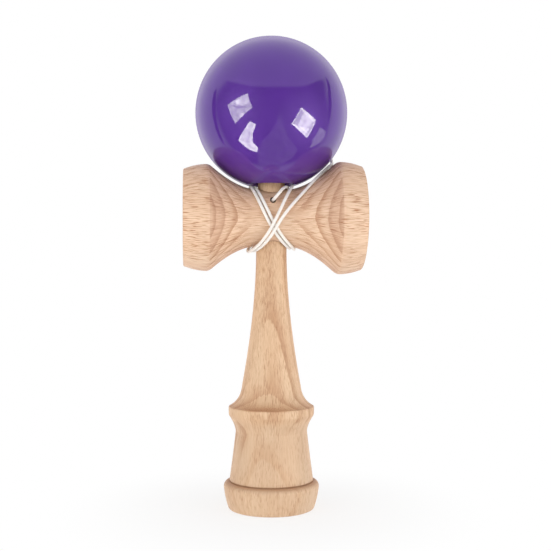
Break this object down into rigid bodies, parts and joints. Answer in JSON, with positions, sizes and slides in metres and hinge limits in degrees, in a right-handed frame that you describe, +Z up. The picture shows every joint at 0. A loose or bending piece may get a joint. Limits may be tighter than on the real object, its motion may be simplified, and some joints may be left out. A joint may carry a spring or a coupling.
{
  "type": "cup and ball toy",
  "caption": "Wooden cup and ball toy: turned handle with a spike, crosspiece with a cup at either end, lacquered ball on the spike, cotton string wound round the waist.",
  "frame": {"origin": "middle of the handle's foot, on the plane it stands on", "axes": "+Z up along the handle, +X towards the big cup, -Y towards the string's hole in the crosspiece"},
  "size_m": [0.0703, 0.06, 0.187],
  "materials": {
    "beech_handle": "fine sanded, unvarnished",
    "beech_cross": "fine sanded, unvarnished",
    "violet_lacquer": "high gloss lacquer over wood",
    "bead_wood": "plain",
    "cotton": "twisted cotton string"
  },
  "bodies": {
    "handle": {"ken": "beech_handle", "sarado": "beech_cross", "ken_knot": "cotton", "string_winding": "cotton", "string_stretch": "cotton"},
    "string_end": {"bead": "bead_wood", "bead_knot": "cotton", "string_in_tama": "cotton"},
    "ball": {"tama": "violet_lacquer"}
  },
  "joints": [
    {"name": "ball_lift", "type": "slide", "parent": "handle", "child": "string_end", "axis": [0, 0, 1], "range_m": [0, 0.06], "deforming": ["string_stretch"]},
    {"name": "ball_spin", "type": "hinge", "parent": "string_end", "child": "ball", "pos_m": [0, 0, 0.1558], "axis": [0, 0, 1], "continuous": true}
  ]
}
